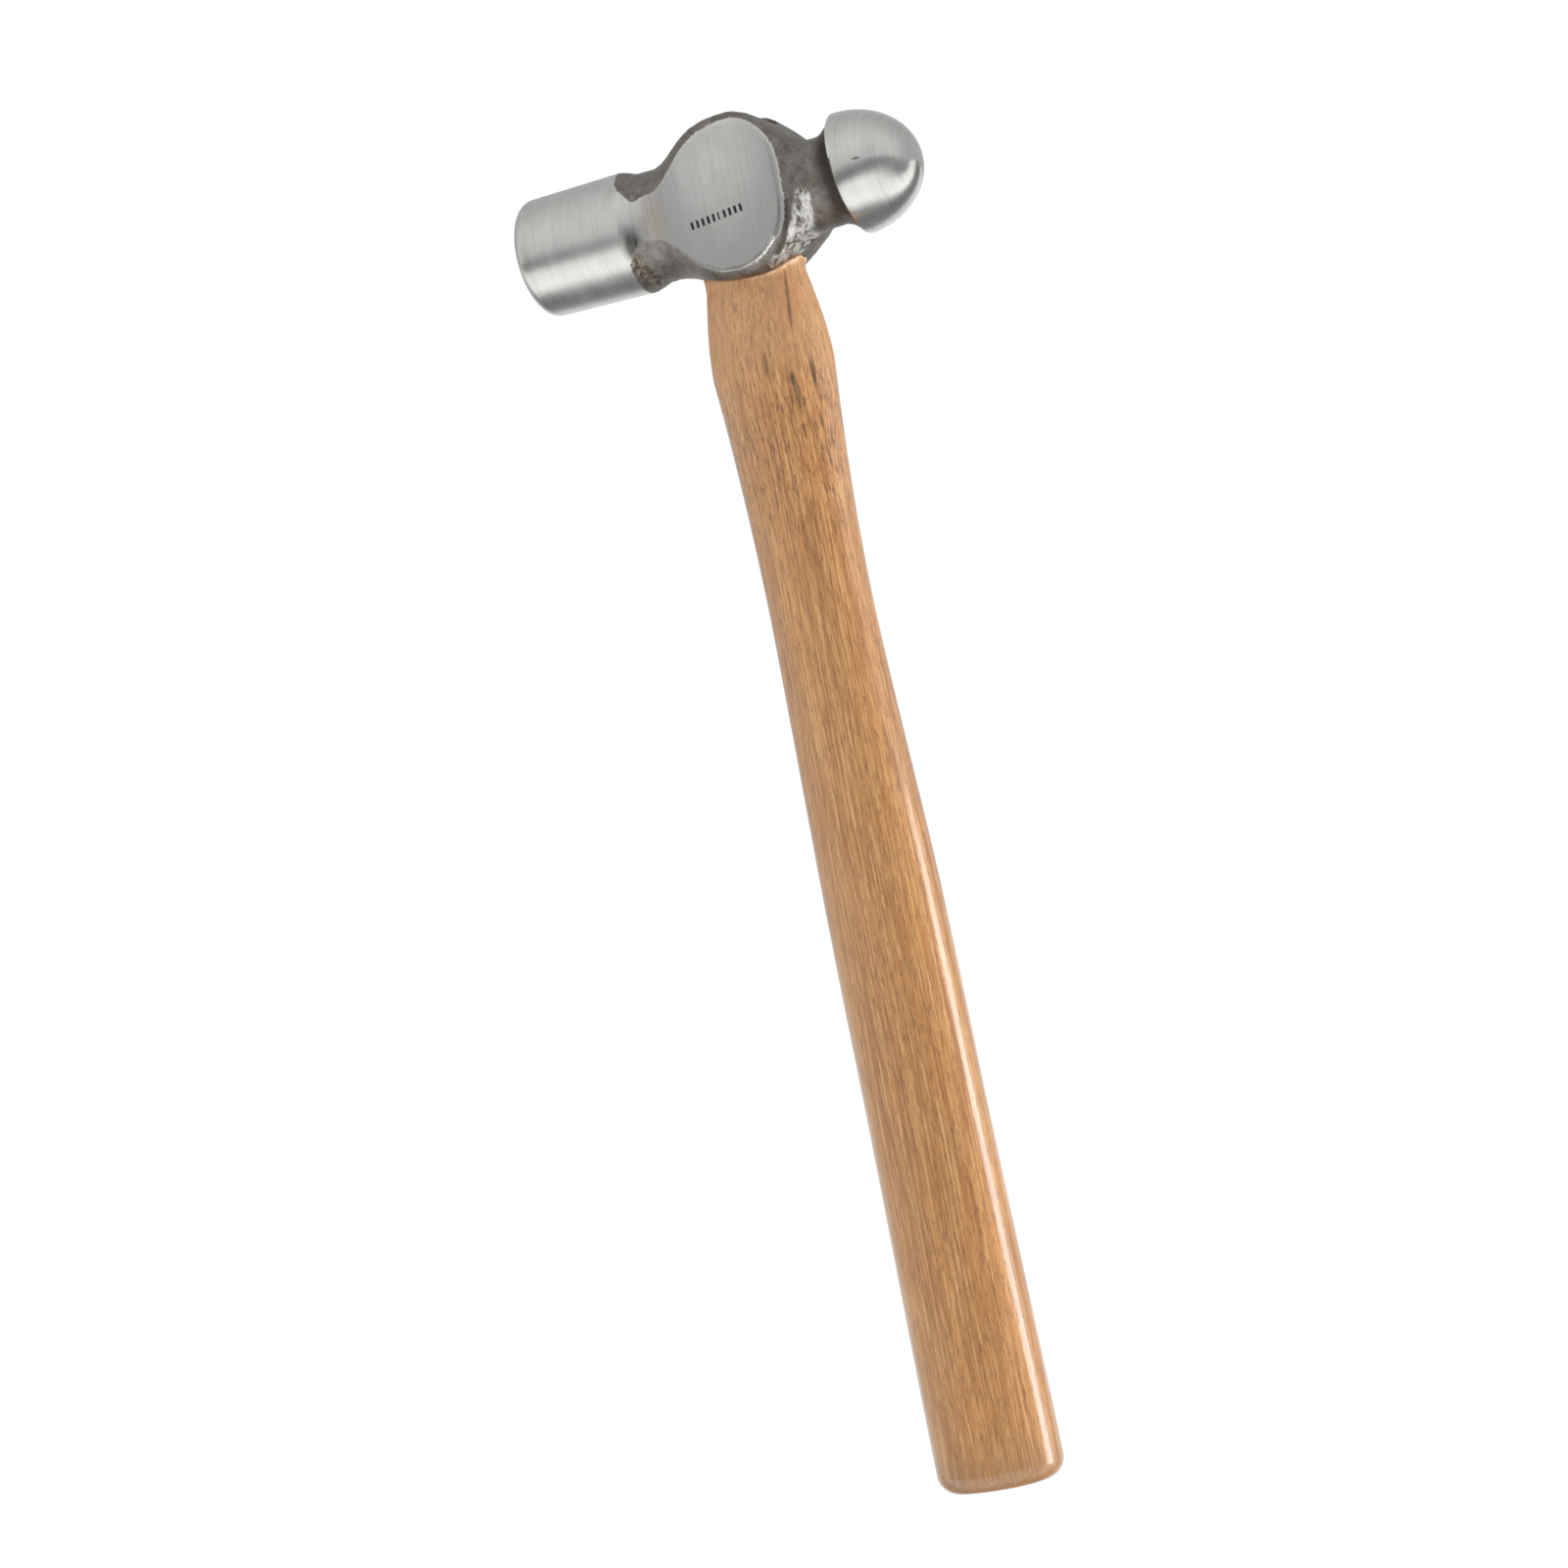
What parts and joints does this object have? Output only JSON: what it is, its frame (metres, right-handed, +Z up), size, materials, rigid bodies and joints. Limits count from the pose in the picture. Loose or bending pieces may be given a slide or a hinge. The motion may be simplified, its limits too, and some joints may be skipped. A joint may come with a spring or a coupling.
{
  "type": "ball peen hammer",
  "caption": "Ball peen hammer with a forged and ground steel head, oval eye and a wedged, lacquered hardwood handle with a waisted neck and a swelled grip.",
  "frame": {"origin": "centre of the bounding box, on the surface that the hammer lies on", "axes": "+X along the head from the striking face to the ball, +Y up the handle from butt to head, +Z up, square to the cheeks"},
  "size_m": [0.1054, 0.344, 0.031],
  "materials": {
    "head_steel": "satin ground poll, cheeks and ball; dark as-forged necks and flanks",
    "handle_wood": "open-pored hardwood under clear gloss lacquer",
    "wedge_wood": "plain, sawn flush",
    "wedge_steel": "dark, hammered flush"
  },
  "bodies": {
    "root": {"head": "head_steel", "handle": "handle_wood", "wood_wedge": "wedge_wood", "steel_wedge_poll_side": "wedge_steel", "steel_wedge_ball_side": "wedge_steel"}
  },
  "joints": []
}
